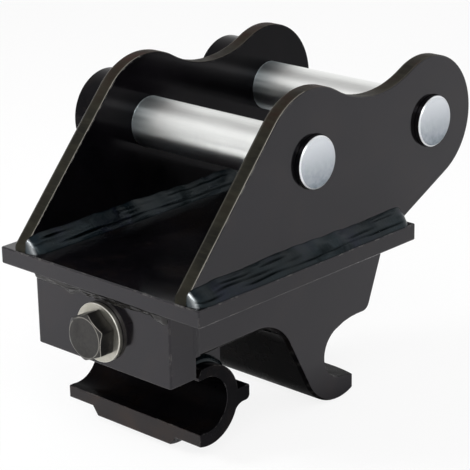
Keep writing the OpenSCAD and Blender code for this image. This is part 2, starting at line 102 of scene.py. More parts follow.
def blend(tree, factor, first, second):
    mix = addNode(tree, "Mix", data_type="RGBA")
    feed(tree, factor, mix.inputs[0])
    feed(tree, first, mix.inputs[6])
    feed(tree, second, mix.inputs[7])
    return mix.outputs[2]


def sums(tree, operation, first, second, clamp=False):
    node = addNode(tree, "Math", operation=operation, use_clamp=clamp)
    feed(tree, first, node.inputs[0])
    feed(tree, second, node.inputs[1])
    return node.outputs[0]


def spread(tree, value, fromLow, fromHigh, toLow, toHigh):
    node = addNode(tree, "MapRange", clamp=True)
    for number, socket in zip((value, fromLow, fromHigh, toLow, toHigh), list(node.inputs)[:5]):
        feed(tree, number, socket)
    return node.outputs[0]


# One coordinate of a vector, by its letter
def axisPart(tree, vector, letter):
    node = addNode(tree, "SeparateXYZ")
    tree.links.new(vector, node.inputs[0])
    return node.outputs[letter]


# Broken-up wear on the rounded edges, read from each face's edge value, which on some edges and bead ends
# is a painted highlight
def edgeScuffAndGlintGroup():
    group, given, result = newGroup(
        "edgeScuff", {"Vector": (0, 0, 0), "WearScale": 160.0, "Wear": 0.6}, {"Mask": "Float"})
    wearAndGlint = addNode(group, "Attribute", attribute_name="edgeWear")
    patches = scaledNoise(group, given.outputs["Vector"], given.outputs["WearScale"], 5.0, 0.62)
    lowLimit = sums(group, "SUBTRACT", 0.86, given.outputs["Wear"])
    highLimit = sums(group, "ADD", lowLimit, 0.16)
    broken = spread(group, patches, lowLimit, highLimit, 0.0, 1.0)
    group.links.new(sums(group, "MULTIPLY", broken, wearAndGlint.outputs["Fac"], True), result.inputs["Mask"])
    return group


# Sprayed paint: slow mottle, patches of a second tint, smudges and fine orange peel
def paintSkinGroup():
    group, given, result = newGroup(
        "paintSkin", {"Vector": (0, 0, 0), "Base": (0.01, 0.01, 0.01, 1), "Mottle": (0.02, 0.02, 0.02, 1),
                      "Cast": (0.02, 0.02, 0.02, 1), "Smooth": 0.3, "Dull": 0.5, "Peel": 900.0},
        {"Color": "Color", "Roughness": "Float", "Height": "Float"})
    vector = given.outputs["Vector"]
    slow = scaledNoise(group, vector, 22.0, 4.0, 0.6, 0.4)
    smudge = scaledNoise(group, vector, 75.0, 6.0, 0.65, 0.8)
    speck = scaledNoise(group, vector, 1400.0, 2.0)
    mottle = spread(group, slow, 0.35, 0.7, 0.0, 1.0)
    tint = blend(group, mottle, given.outputs["Base"], given.outputs["Mottle"])
    patch = spread(group, scaledNoise(group, vector, 41.0, 5.0, 0.65, 0.5), 0.50, 0.66, 0.0, 0.9)
    tint = blend(group, patch, tint, given.outputs["Cast"])
    speckMask = spread(group, speck, 0.68, 0.78, 0.0, 0.35)
    group.links.new(blend(group, speckMask, tint, given.outputs["Mottle"]), result.inputs["Color"])
    group.links.new(spread(group, smudge, 0.3, 0.72, given.outputs["Smooth"], given.outputs["Dull"]),
                    result.inputs["Roughness"])
    peel = scaledNoise(group, vector, given.outputs["Peel"], 2.0, 0.4)
    swell = scaledNoise(group, vector, 60.0, 2.0, 0.4)
    group.links.new(sums(group, "ADD", sums(group, "MULTIPLY", swell, 2.5), peel), result.inputs["Height"])
    return group


# Fine lines left by cutting, grinding or turning, drawn out by the Stretch given
def toolLinesGroup():
    group, given, result = newGroup(
        "toolLines", {"Vector": (0, 0, 0), "Stretch": (1, 1, 1), "Scale": 400.0},
        {"Lines": "Float", "Patches": "Float"})
    drawn = addNode(group, "VectorMath", operation="MULTIPLY")
    group.links.new(given.outputs["Vector"], drawn.inputs[0])
    group.links.new(given.outputs["Stretch"], drawn.inputs[1])
    lines = scaledNoise(group, drawn.outputs[0], given.outputs["Scale"], 6.0, 0.7)
    patches = scaledNoise(group, given.outputs["Vector"], 38.0, 5.0, 0.6, 0.6)
    group.links.new(lines, result.inputs["Lines"])
    group.links.new(patches, result.inputs["Patches"])
    return group


edgeScuff = edgeScuffAndGlintGroup()
paintSkin = paintSkinGroup()
toolLines = toolLinesGroup()


def newMaterial(name):
    material = bpy.data.materials.new(name)
    material.use_nodes = True
    tree = material.node_tree
    shader = tree.nodes["Principled BSDF"]
    coord = addNode(tree, "TexCoord").outputs["Object"]
    return material, tree, shader, coord


# A group whose inputs are set by the look's values of the same names
def useGroup(tree, group, coord, look):
    node = addNode(tree, "Group", node_tree=group)
    tree.links.new(coord, node.inputs["Vector"])
    for socket in node.inputs:
        name = socket.name[0].lower() + socket.name[1:]
        if name in look:
            socket.default_value = look[name]
    return node.outputs


def usePaintShader(tree, shader, color, metal, skin, look):
    tree.links.new(color, shader.inputs["Base Color"])
    tree.links.new(metal, shader.inputs["Metallic"])
    tree.links.new(skin["Roughness"], shader.inputs["Roughness"])
    shader.inputs["Specular IOR Level"].default_value = look["specular"]


def useBump(tree, shader, height, strength, distance):
    bump = addNode(tree, "Bump")
    bump.inputs["Strength"].default_value = strength
    bump.inputs["Distance"].default_value = distance
    tree.links.new(height, bump.inputs["Height"])
    tree.links.new(bump.outputs["Normal"], shader.inputs["Normal"])


wearAndGlintMetal = 0.7  # how metallic the worn edges of paint are, and the painted highlights drawn the same way
satinPaint = {
    "base": (0.0012, 0.0012, 0.0016, 1), "mottle": (0.0040, 0.0034, 0.0044, 1),
    "cast": (0.0062, 0.0046, 0.0044, 1), "smooth": 0.08, "dull": 0.17, "peel": 850.0,
    "specular": 0.42, "ior": 1.5, "shine": (0.95, 0.92, 1.0, 1),
    "wornColor": (0.11, 0.107, 0.10, 1), "wear": 0.36, "wearScale": 190.0}
# copies that mirror less, painted shade between the ears and on the jaw and collars, and the jaw's lip with
# a rusty cast
shadedInnerCoat = dict(satinPaint, specular=0.09, cast=(0.0020, 0.0020, 0.0022, 1))
shadedJawCoat = dict(satinPaint, specular=0.11, ior=1.3)
lipCoat = dict(
    satinPaint, specular=0.32, mottle=(0.0085, 0.0055, 0.0038, 1),
    cast=(0.017, 0.0095, 0.0050, 1))
# the hook body mirrors less towards its foot, painted shade for the floor's shadow that it mirrors there,
# and torch-cut faces under the plate are dull, with a very low sheen that is painted shade
hookCoat = dict(satinPaint, specular=0.50, fadeFrom=-128*mm, fadeTo=-158*mm, fadeShare=0.72)
# a dull copy that mirrors very little: painted shade for faces under the plate, between the walls and in
# the jaw's seat
shadedCutCoat = dict(
    satinPaint, specular=0.35, ior=1.07, smooth=0.22, dull=0.38,
    base=(0.0009, 0.0009, 0.0011, 1), mottle=(0.0022, 0.0018, 0.0022, 1),
    cast=(0.0032, 0.0021, 0.0017, 1))


def satinPaintMaterial(name, look):
    material, tree, shader, coord = newMaterial(name)
    skin = useGroup(tree, paintSkin, coord, look)
    scuffAndGlint = useGroup(tree, edgeScuff, coord, look)["Mask"]
    color = blend(tree, scuffAndGlint, skin["Color"], look["wornColor"])
    metal = sums(tree, "MULTIPLY", scuffAndGlint, wearAndGlintMetal)
    if "fadeShare" in look:
        # painted shade: a black metallic share that mirrors less and less towards the foot
        paintedFootShade = spread(tree, axisPart(tree, coord, "Z"), look["fadeFrom"], look["fadeTo"],
                      0.0, look["fadeShare"])
        metal = sums(tree, "MAXIMUM", metal, paintedFootShade)
    usePaintShader(tree, shader, color, metal, skin, look)
    shader.inputs["IOR"].default_value = look["ior"]
    shader.inputs["Specular Tint"].default_value = look["shine"]
    useBump(tree, shader, skin["Height"], 0.06, 0.1*mm)
    return material


# Painted rim of a torch-cut plate: olive-brown cast, faint rust, drag lines across the thickness
cutRim = {
    "base": (0.0055, 0.0054, 0.0042, 1), "mottle": (0.019, 0.0178, 0.0125, 1),
    "cast": (0.011, 0.0096, 0.0066, 1), "rust": (0.022, 0.006, 0.0035, 1), "rustFrom": 16*mm,
    "rustTo": 40*mm, "smooth": 0.45, "dull": 0.65, "peel": 700.0, "specular": 0.06,
    "stretch": (1.0, 0.10, 1.0), "scale": 430.0, "wornColor": (0.20, 0.19, 0.165, 1),
    "wear": 0.86, "wearScale": 120.0}


def cutRimMaterial(name, look):
    material, tree, shader, coord = newMaterial(name)
    skin = useGroup(tree, paintSkin, coord, look)
    scuffAndGlint = useGroup(tree, edgeScuff, coord, look)["Mask"]
    drag = useGroup(tree, toolLines, coord, look)
    high = spread(tree, axisPart(tree, coord, "Z"), look["rustFrom"], look["rustTo"], 0.0, 0.8)
    rusty = sums(tree, "MULTIPLY", high, spread(tree, drag["Patches"], 0.42, 0.62, 0.15, 1.0), True)
    color = blend(tree, rusty, skin["Color"], look["rust"])
    lined = blend(tree, spread(tree, drag["Lines"], 0.46, 0.66, 0.0, 0.85), color, look["mottle"])
    usePaintShader(tree, shader, blend(tree, scuffAndGlint, lined, look["wornColor"]),
                   sums(tree, "MULTIPLY", scuffAndGlint, wearAndGlintMetal), skin, look)
    useBump(tree, shader, drag["Lines"], 0.5, 0.15*mm)
    return material


# Weld beads under paint: blue and violet casts drawn out along the bead, sooty stretches, and painted shade
# in the grooves and along the toes
weldPaint = {
    "base": (0.0024, 0.0036, 0.0048, 1), "mottle": (0.0055, 0.011, 0.015, 1),
    "cast": (0.0030, 0.0050, 0.0060, 1), "violet": (0.0055, 0.0055, 0.015, 1),
    "smooth": 0.15, "dull": 0.30, "peel": 500.0, "specular": 0.20, "shine": (0.80, 0.95, 1.0, 1),
    "stretch": (0.12, 1.0, 1.0), "scale": 90.0, "sootScale": 17.0, "sootFrom": 0.52, "sootTo": 0.60,
    "sootShare": 0.75, "creaseColor": (0.0004, 0.0005, 0.0006, 1),
    "wornColor": (0.34, 0.36, 0.37, 1), "wear": 0.75, "wearScale": 260.0}
# the same without the blue cast, and glossier, for the bead across the block
seamPaint = dict(
    weldPaint, base=(0.0020, 0.0020, 0.0020, 1), mottle=(0.0050, 0.0048, 0.0044, 1),
    cast=(0.0060, 0.0052, 0.0044, 1), violet=(0.0040, 0.0034, 0.0040, 1),
    shine=(1.0, 0.97, 0.98, 1), specular=0.42)


def weldPaintMaterial(name, look):
    material, tree, shader, coord = newMaterial(name)
    skin = useGroup(tree, paintSkin, coord, look)
    streak = useGroup(tree, toolLines, coord, look)
    violet = spread(tree, streak["Patches"], 0.5, 0.66, 0.0, 0.8)
    toned = blend(tree, violet, skin["Color"], look["violet"])
    crease = addNode(tree, "Attribute", attribute_name="crease").outputs["Fac"]
    soot = spread(tree, scaledNoise(tree, coord, look["sootScale"], 4.0, 0.6, 0.6),
                  look["sootFrom"], look["sootTo"], 0.0, look["sootShare"])
    dark = sums(tree, "MAXIMUM", crease, soot)
    creaseShaded = blend(tree, dark, toned, look["creaseColor"])
    scuffAndGlint = useGroup(tree, edgeScuff, coord, look)["Mask"]
    # the painted shade in the grooves and toes, and the sooty stretches, are metallic too, so that they
    # mirror little
    usePaintShader(tree, shader, blend(tree, scuffAndGlint, creaseShaded, look["wornColor"]),
                   sums(tree, "MAXIMUM", scuffAndGlint, dark), skin, look)
    shader.inputs["Specular Tint"].default_value = look["shine"]
    useBump(tree, shader, streak["Lines"], 0.10, 0.2*mm)
    return material


# Steel with tool lines, stains and worn edges, for the pins, the washers and the heads
def brightSteelMaterial(name, look):
    material, tree, shader, coord = newMaterial(name)
    lines = useGroup(tree, toolLines, coord, look)
    stain = spread(tree, lines["Patches"], 0.42, 0.72, 0.0, look["stainAmount"])
    tone = blend(tree, stain, look["base"], look["stain"])
    if "mistTone" in look:
        # painted reflection: the pin darkens beside the far ear, standing in for the dark ear face that it
        # mirrors there
        paintedMirror = spread(tree, axisPart(tree, coord, "Y"), look["mistFrom"], look["mistTo"],
                      0.0, look["mistShare"])
        tone = blend(tree, paintedMirror, tone, look["mistTone"])
    if "lowTone" in look:
        # an end face that darkens downwards, a painted reflection of the darker floor close to the coupler
        paintedLowShade = spread(tree, axisPart(tree, coord, "Z"), look["toneTop"], look["toneFoot"], 0.0, 1.0)
        tone = blend(tree, paintedLowShade, tone, look["lowTone"])
    fine = blend(tree, spread(tree, lines["Lines"], 0.3, 0.7, 0.0, 0.35), tone, look["line"])
    scuffAndGlint = useGroup(tree, edgeScuff, coord, look)["Mask"]
    tree.links.new(blend(tree, scuffAndGlint, fine, look["edge"]), shader.inputs["Base Color"])
    tree.links.new(spread(tree, lines["Lines"], 0.25, 0.75, look["smooth"], look["dull"]),
                   shader.inputs["Roughness"])
    shader.inputs["Metallic"].default_value = 1.0
    if "turnedAlong" in look:
        tangent = addNode(tree, "Tangent", direction_type="RADIAL", axis=look["turnedAlong"])
        tree.links.new(tangent.outputs[0], shader.inputs["Tangent"])
        shader.inputs["Anisotropic"].default_value = look["spreadAlong"]
        shader.inputs["Anisotropic Rotation"].default_value = 0.25
    useBump(tree, shader, lines["Lines"], look["bump"], 0.04*mm)
    return material


# the pin darkens towards the far ear as a painted reflection of that dark face
pinSteel = {
    "base": (0.90, 0.91, 0.89, 1), "stain": (0.80, 0.80, 0.79, 1), "stainAmount": 0.5,
    "line": (0.72, 0.73, 0.73, 1), "edge": (0.86, 0.88, 0.90, 1), "stretch": (1.0, 0.06, 1.0),
    "scale": 520.0, "smooth": 0.32, "dull": 0.44, "bump": 0.06, "wear": 0.7, "wearScale": 60.0,
    "turnedAlong": "Y", "spreadAlong": 0.85, "mistTone": (0.24, 0.32, 0.35, 1),
    "mistFrom": 38*mm, "mistTo": 59*mm, "mistShare": 0.85}
# the end face darkens downwards as a painted reflection of the floor below
pinEndSteel = {
    "base": (0.72, 0.75, 0.79, 1), "stain": (0.66, 0.70, 0.74, 1), "stainAmount": 0.4,
    "lowTone": (0.13, 0.165, 0.20, 1), "toneTop": 11*mm, "toneFoot": -14*mm,
    "line": (0.68, 0.71, 0.75, 1), "edge": (0.86, 0.88, 0.90, 1),
    "scale": 300.0, "smooth": 0.20, "dull": 0.28, "bump": 0.01, "wear": 0.9, "wearScale": 60.0}
washerSteel = {
    "base": (0.50, 0.485, 0.43, 1), "stain": (0.34, 0.32, 0.27, 1), "stainAmount": 0.8,
    "line": (0.40, 0.39, 0.34, 1), "edge": (0.62, 0.61, 0.55, 1),
    "scale": 600.0, "smooth": 0.34, "dull": 0.5, "bump": 0.16, "wear": 0.7, "wearScale": 90.0}
headSteel = {
    "base": (0.044, 0.043, 0.043, 1), "stain": (0.020, 0.020, 0.020, 1), "stainAmount": 0.9,
    "line": (0.095, 0.090, 0.082, 1), "edge": (0.38, 0.365, 0.33, 1), "stretch": (0.3, 1.0, 1.0),
    "scale": 500.0, "smooth": 0.3, "dull": 0.46, "bump": 0.2, "wear": 0.52, "wearScale": 190.0}

paint = satinPaintMaterial("satinBlackPaint", satinPaint)
shadedInnerPaint = satinPaintMaterial("thinBlackPaint", shadedInnerCoat)
shadedCutPaint = satinPaintMaterial("dullBlackPaint", shadedCutCoat)
shadedJawPaint = satinPaintMaterial("jawBlackPaint", shadedJawCoat)
lipPaint = satinPaintMaterial("lipBlackPaint", lipCoat)
hookPaint = satinPaintMaterial("hookBlackPaint", hookCoat)
rim = cutRimMaterial("cutRimPaint", cutRim)
bead = weldPaintMaterial("weldPaint", weldPaint)
seamBead = weldPaintMaterial("seamPaint", seamPaint)
pinMetal = brightSteelMaterial("groundSteel", pinSteel)
pinEndMetal = brightSteelMaterial("facedSteel", pinEndSteel)
washerMetal = brightSteelMaterial("washerSteel", washerSteel)
headMetal = brightSteelMaterial("blackenedSteel", headSteel)
print("materials made")


# Mesh helpers

def newObject(name, data):
    thing = bpy.data.objects.new(name, data)
    bpy.context.scene.collection.objects.link(thing)
    return thing


def meshOf(name, bm):
    mesh = bpy.data.meshes.new(name)
    bm.to_mesh(mesh)
    bm.free()
    return mesh


def addPiece(name, bm, body, nodes, materials, sharp, flatten=False):
    return addPieceMesh(name, meshOf(name, bm), body, nodes, materials, sharp, flatten)


def addPieceMesh(name, mesh, body, nodes, materials, sharp, flatten):
    mesh.polygons.foreach_set("use_smooth", [True]*len(mesh.polygons))
    mesh.set_sharp_from_angle(angle=radians(sharp))
    piece = newObject(name, mesh)
    for material in materials:
        mesh.materials.append(material)
    if flatten:
        # large flat faces keep their own normal, and only the rounded edges shade across
        weighted = piece.modifiers.new("flatFaces", "WEIGHTED_NORMAL")
        weighted.keep_sharp = True
        weighted.weight = 100
    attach(piece, body)
    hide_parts(*nodes)
    return piece


sameSpot = 2e-6  # corners closer together than this are made one


def nodeMesh(node):
    bm = bmesh.new()
    bm.from_mesh(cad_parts[node].data)
    bmesh.ops.remove_doubles(bm, verts=bm.verts, dist=sameSpot)
    bmesh.ops.dissolve_limit(bm, angle_limit=radians(0.4), verts=bm.verts, edges=bm.edges)
    return bm


# Takes out the slivers and folded faces that rounding leaves where three rounds meet
def cleanMesh(mesh):
    bm = bmesh.new()
    bm.from_mesh(mesh)
    bmesh.ops.remove_doubles(bm, verts=bm.verts, dist=sameSpot)
    bmesh.ops.dissolve_degenerate(bm, dist=sameSpot, edges=bm.edges)
    byCorners = {}
    for face in bm.faces:
        byCorners.setdefault(frozenset(face.verts), []).append(face)
    twins = [face for faces in byCorners.values() if len(faces) > 1 for face in faces]
    bmesh.ops.delete(bm, geom=twins, context="FACES")
    bm.to_mesh(mesh)
    bm.free()


# The same width or wear all over a piece
def always(value):
    return lambda point: value


# A imported solid with its edges rounded. widthAt gives the middle of each sharp edge its round in
# metres, the next function gives each rounded face its wear, in places a painted highlight, and coatAt
# gives each face its material's number.
def roundedNode(node, name, body, materials, widthAt, wearAndGlintAt, coatAt=None, segments=3, clamp=True):
    bm = nodeMesh(node)
    weights = bm.edges.layers.float.new("bevel_weight_edge")
    widths = {}
    for edge in bm.edges:
        if len(edge.link_faces) == 2 and edge.is_convex and edge.calc_face_angle(0) > radians(20):
            widths[edge] = widthAt((edge.verts[0].co + edge.verts[1].co)/2)
    widest = max(widths.values())
    for edge, width in widths.items():
        edge[weights] = width/widest
    rough = meshOf(name + "Rough", bm)
    # the second slot marks the faces that the bevel makes
    rough.materials.append(None)
    rough.materials.append(None)
    holder = newObject(name + "Rough", rough)
    bevel = holder.modifiers.new("round", "BEVEL")
    bevel.limit_method = "WEIGHT"
    bevel.width = widest
    bevel.segments = segments
    bevel.use_clamp_overlap = clamp
    bevel.loop_slide = True
    bevel.material = 1
    graph = bpy.context.evaluated_depsgraph_get()
    mesh = bpy.data.meshes.new_from_object(holder.evaluated_get(graph))
    mesh.name = name
    bpy.data.objects.remove(holder)
    bpy.data.meshes.remove(rough)
    cleanMesh(mesh)
    rounded = [face.material_index == 1 for face in mesh.polygons]
    mesh.materials.clear()
    wear = mesh.attributes.new("edgeWear", "FLOAT", "FACE")
    for face in mesh.polygons:
        wear.data[face.index].value = wearAndGlintAt(face.center) if rounded[face.index] else 0.0
        face.material_index = coatAt(face) if coatAt else 0
    return addPieceMesh(name, mesh, body, [node], materials, 34, True)


# Four-sided faces between neighbouring rows of corners
def skinRows(bm, pairs, closed):
    for here, there in pairs:
        count = len(here)
        for k in range(count if closed else count - 1):
            m = (k + 1) % count
            bm.faces.new((here[k], here[m], there[m], there[k]))


# A turned piece: profile is a list of (along, radius), or a function of the angle that gives one
def turned(profile, centre, axis, segments, hollow=False):
    along = Vector(axis).normalized()
    side = along.orthogonal().normalized()
    other = along.cross(side)
    bm = bmesh.new()
    loops = []
    for step in range(segments):
        angle = 2*pi*step/segments
        out = side*cos(angle) + other*sin(angle)
        points = profile(angle) if callable(profile) else profile
        loops.append([bm.verts.new(Vector(centre) + along*h + out*r) for h, r in points])
    skinRows(bm, zip(loops, loops[1:] + loops[:1]), hollow)
    if not hollow:
        bm.faces.new([loop[0] for loop in loops])
        bm.faces.new([loop[-1] for loop in loops])
    bmesh.ops.recalc_face_normals(bm, faces=bm.faces)
    return bm


# A skin over a row of rings, each a list of points, with end caps or closed on itself
def ringMesh(rings, capped=True):
    bm = bmesh.new()
    layers = [[bm.verts.new(point) for point in ring] for ring in rings]
    skinRows(bm, zip(layers, layers[1:] if capped else layers[1:] + layers[:1]), True)
    if capped:
        bm.faces.new(layers[0])
        bm.faces.new(layers[-1])
    bmesh.ops.recalc_face_normals(bm, faces=bm.faces)
    return bm


# Rounds the corners of a profile, each with an arc of a few steps
def softCorners(points, radius, steps=3, closed=False):
    result = []
    count = len(points)
    for index, point in enumerate(points):
        if not closed and index in (0, count - 1):
            result.append(tuple(point))
            continue
        here = Vector(point)
        before = Vector(points[index - 1]) - here
        after = Vector(points[(index + 1) % count]) - here
        reach = min(radius, before.length*0.45, after.length*0.45)
        start, end = here + before.normalized()*reach, here + after.normalized()*reach
        for step in range(steps + 1):
            t = step/steps
            result.append(tuple(start*(1 - t)**2 + here*2*t*(1 - t) + end*t*t))
    return result


def joined(first, second):
    mesh = meshOf("joined", second)
    first.from_mesh(mesh)
    bpy.data.meshes.remove(mesh)
    return first


# Marks the chamfers and rims of a turned piece with a painted highlight, so that they read as brighter
# edges
def markEdges(piece, wearAndGlintOf):
    wear = piece.data.attributes.new("edgeWear", "FLOAT", "FACE")
    for face in piece.data.polygons:
        wear.data[face.index].value = float(wearAndGlintOf(face))


# Wear and painted highlight of a hexagon head beyond the limit: its outline most, the circle round its face
# half as much
def markHead(piece, axis, limit):
    def wearAndGlintOf(face):
        tilt = abs(face.normal[axis])
        if face.center[axis] >= limit:
            return 0.0
        return 1.0 if 0.3 < tilt < 0.62 else 0.45 if 0.9 < tilt < 0.99 else 0.0
    markEdges(piece, wearAndGlintOf)


# Plate, ears and block

touch = 0.5*mm  # how close to a face an edge counts as lying on it
rearAxis = 104*mm
plateLook = {"edgeRound": 0.9*mm, "wear": 0.55, "lowWear": 0.9, "lowEdge": 1.5*mm}
earLook = {
    "edgeRound": 1.0*mm, "softRound": 2.4*mm, "boreRound": 0.6*mm, "boreReach": 17*mm,
    "toeRound": 2.6*mm, "toeHeight": 8*mm, "wear": 0.14, "frontWear": 1.0,
    "wornBefore": -5*mm, "wornAbove": 5*mm, "wornDepth": 0.6*mm}
plateLow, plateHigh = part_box("base_plate")
earLow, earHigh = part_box("near_ear")
blockLow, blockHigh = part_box("thrust_block")
plateTop, plateUnder = plateHigh.z, plateLow.z


# the near half of the plate's lower edges is worn most, partly a painted highlight on the side towards the
# camera
def plateWearAndGlint(point):
    lowEdge = point.z < plateUnder + plateLook["lowEdge"]
    return plateLook["lowWear"] if lowEdge and point.y < 0 else plateLook["wear"]


roundedNode("base_plate", "basePlate", "frame", [paint],
            always(plateLook["edgeRound"]), plateWearAndGlint)


# An ear: paint outside, a copy that mirrors less on the face between the ears as painted shade, and the
# torch-cut rim.
# Its far edge has a larger, darker round than its near edge, which is worn bright at the front, partly a
# painted highlight.
def dressEar(node, name, innerSide, look):
    cameraFace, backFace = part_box(node)[0].y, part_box(node)[1].y

    def earRound(middle):
        if middle.z < plateTop + touch:
            return 0.0
        acrossRim = abs(middle.y - (cameraFace + backFace)/2) < touch
        if acrossRim and middle.z < plateTop + look["toeHeight"]:
            return look["toeRound"]
        fromBore = min(middle.xz.length, (middle.xz - Vector((rearAxis, 0))).length)
        if fromBore < look["boreReach"]:
            return look["boreRound"]
        return look["softRound"] if middle.y > backFace - touch else look["edgeRound"]

    # the front of the edge towards the camera is worn brightest: partly wear, partly a painted highlight
    def earWearAndGlint(point):
        if point.z < plateTop + look["wornAbove"]:
            return 0.0
        frontEdge = point.x < look["wornBefore"] and point.y < cameraFace + look["wornDepth"]
        return look["frontWear"] if frontEdge else look["wear"]

    # faces between the ears take the copy that mirrors less: painted shade
    def earCoatAt(face):
        if -0.6 < face.normal.y < 0.35:
            return 1
        return 2 if face.normal.y*innerSide > 0 or 0 < face.normal.y < 0.95 else 0

    roundedNode(node, name, "frame", [paint, rim, shadedInnerPaint],
                earRound, earWearAndGlint, earCoatAt, 4, False)


dressEar("near_ear", "nearEar", 1, earLook)
dressEar("far_ear", "farEar", -1, earLook)

blockLook = {"edgeRound": 1.2*mm, "wear": 0.4}
roundedNode("thrust_block", "thrustBlock", "frame", [paint],
            always(blockLook["edgeRound"]), always(blockLook["wear"]))
print("plate, ears and block dressed")


# Hook body, jaw, slide, rails and collars

hookLook = {
    "edgeRound": 1.1*mm, "legRound": 2.4*mm, "tipRound": 0.6*mm, "wear": 0.12,
    "lowBelow": 25*mm, "taperFrom": 12*mm, "taperTo": 48*mm,
    "seat": Vector((43*mm, -128.5*mm)), "seatReach": 17*mm,
    "wall": 5*mm, "dullBelow": 12*mm, "dullTo": 0.93, "lipFrom": 34*mm, "lipDullTo": 0.6}
bodyLow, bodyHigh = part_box("hook_body")


# large rounds along the arch and the leg, which run out evenly along the underside to the lip
def hookRound(middle):
    onFace = min(abs(middle.y - bodyLow.y), abs(middle.y - bodyHigh.y)) < touch
    inSeat = (middle.xz - hookLook["seat"]).length < hookLook["seatReach"]
    if middle.z > plateUnder - hookLook["lowBelow"]:
        return hookLook["edgeRound"]
    if inSeat or middle.x > hookLook["taperTo"]:
        return hookLook["tipRound"]
    if not onFace:
        return hookLook["edgeRound"]
    share = min(1.0, (hookLook["taperTo"] - middle.x)/(hookLook["taperTo"] - hookLook["taperFrom"]))
    return hookLook["tipRound"] + (hookLook["legRound"] - hookLook["tipRound"])*share


# the torch-cut faces, most of their large rounds and everything between the side walls get the dull copy,
# painted shade for these shadowed faces
def hookCoatAt(face):
    between = abs(face.center.y) < bodyHigh.y - hookLook["wall"]
    low = face.center.z < plateUnder - hookLook["dullBelow"]
    limit = hookLook["dullTo"] if face.center.x < hookLook["lipFrom"] else hookLook["lipDullTo"]
    return 1 if between or (low and abs(face.normal.y) < limit) else 0


roundedNode("hook_body", "hookBody", "frame", [hookPaint, shadedCutPaint],
            hookRound, always(hookLook["wear"]), hookCoatAt, 5, False)

jawLook = {"edgeRound": 1.0*mm, "wear": 0.3, "seat": Vector((-71.4*mm, -124.1*mm)), "seatReach": 17*mm}


# painted shade: the seat gets the dull copy and the rest of the jaw a copy that mirrors little, while the
# lip's front face is as glossy as the block
def jawCoatAt(face):
    if (face.center.xz - jawLook["seat"]).length < jawLook["seatReach"] and abs(face.normal.y) < 0.5:
        return 2
    return 1 if face.normal.x < -0.6 else 0


roundedNode("sliding_jaw", "slidingJaw", "jaw", [shadedJawPaint, lipPaint, shadedCutPaint],
            always(jawLook["edgeRound"]), always(jawLook["wear"]), jawCoatAt)

# node, name, body, slot, material, round and wear of the plainly rounded pieces
plainPieces = [
    ("jaw_slide", "jawSlide", "jaw", "black_paint", paint, 0.7*mm, 0.5),
    ("near_rail", "nearRail", "frame", "black_paint", paint, 0.6*mm, 0.5),
    ("far_rail", "farRail", "frame", "black_paint", paint, 0.6*mm, 0.5),
    # the collars take the copy that mirrors less: painted shade
    ("front_collar", "frontCollar", "frame", "black_paint", shadedJawPaint, 0.5*mm, 0.4),
    ("rear_collar", "rearCollar", "frame", "black_paint", shadedJawPaint, 0.5*mm, 0.4),
    ("stop_ring", "stopRing", "spindle_set", "dark_steel", headMetal, 0.6*mm, 0.8)]
for node, name, body, slot, material, width, wear in plainPieces:
    roundedNode(node, name, body, [material], always(width), always(wear))
print("hook, jaw and slide dressed")


# Arm pins, turned with chamfers, crowned ends and a fine relief line at each ear face

pinLook = {
    "radius": 15*mm, "chamfer": 0.9*mm, "soft": 0.3*mm, "groove": 0.5*mm, "grooveDepth": 0.12*mm,
    "earInner": 57.25*mm, "crown": 0.25*mm, "sprayedTo": 1.2*mm}
pinLow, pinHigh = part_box("front_pin")


def armPin(node, name, body, x, look):
    r, c = look["radius"], look["chamfer"]
    length = pinHigh.y - pinLow.y
    crown = look["crown"]
    sprayed = earLow.y + look["sprayedTo"] - pinLow.y
    points = [(0, r*0.02), (crown*0.25, r*0.5), (crown, r - c), (crown + c, r), (sprayed, r)]
    for face in (-look["earInner"], look["earInner"]):
        middle, half = face - pinLow.y, look["groove"]/2
        points += [(middle - half, r), (middle - half, r - look["grooveDepth"]),
                   (middle + half, r - look["grooveDepth"]), (middle + half, r)]
    points += [(length - crown - c, r), (length - crown, r - c),
               (length - crown*0.25, r*0.5), (length, r*0.02)]
    bm = turned(softCorners(points, look["soft"]), (x, pinLow.y, 0), (0, 1, 0), 160)
    piece = addPiece(name, bm, body, [node], [pinMetal, pinEndMetal, paint], 30, True)
    markEdges(piece, lambda face: 0.25 < abs(face.normal.y) < 0.9)
    # the sides that stand out of the near ear caught some of the black spray
    for face in piece.data.polygons:
        standsOut = pinLow.y + crown + c < face.center.y < pinLow.y + sprayed
        face.material_index = 1 if abs(face.normal.y) > 0.9 else 2 if standsOut else 0


armPin("front_pin", "frontArmPin", "arm_pin_front", 0, pinLook)
armPin("rear_pin", "rearArmPin", "arm_pin_rear", rearAxis, pinLook)


# Hexagon heads, spindle, washers and lock bolts

# shares of the corner's reach and of the flats, and how closely the outline keeps to both
hexLook = {"cornerShare": 0.985, "faceShare": 0.475, "sharpness": 9000}


# A hexagon's outline at each angle, with blunted corners and the circle round its face
def hexProfile(flats, height, turn, soft):
    blunt = flats/2/cos(radians(30))*hexLook["cornerShare"]
    face = flats*hexLook["faceShare"]
    sharpness = hexLook["sharpness"]

    def profile(angle):
        local = (degrees(angle) - turn + 30) % 60 - 30
        reach = flats/2/cos(radians(local))
        reach = -log(exp(-reach*sharpness) + exp(-blunt*sharpness))/sharpness
        top = height - (reach - face)*tan(radians(30))
        return [(0, reach*0.5), (0, reach - soft), (soft, reach), (top - soft, reach),
                (top + soft*0.2, reach - soft*0.6), (height - soft*0.35, face + soft*0.6),
                (height, face - soft), (height, face*0.5), (height, face*0.2)]
    return profile


spindleLook = {
    "flats": 24.5*mm, "headHeight": 10*mm, "headTurn": 38, "headSoft": 0.35*mm,
    "radius": 8*mm, "shankRound": 0.2*mm, "z": -86*mm, "pitch": 2*mm, "threadDepth": 1.1*mm,
    "threadStart": -69*mm, "runOut": 1.2*mm, "stepsPerPitch": 8, "around": 48, "washerRadius": 17*mm,
    "washerBore": 8.5*mm, "washerFront": -101.5*mm, "washerThickness": 3*mm, "washerRound": 0.7*mm}


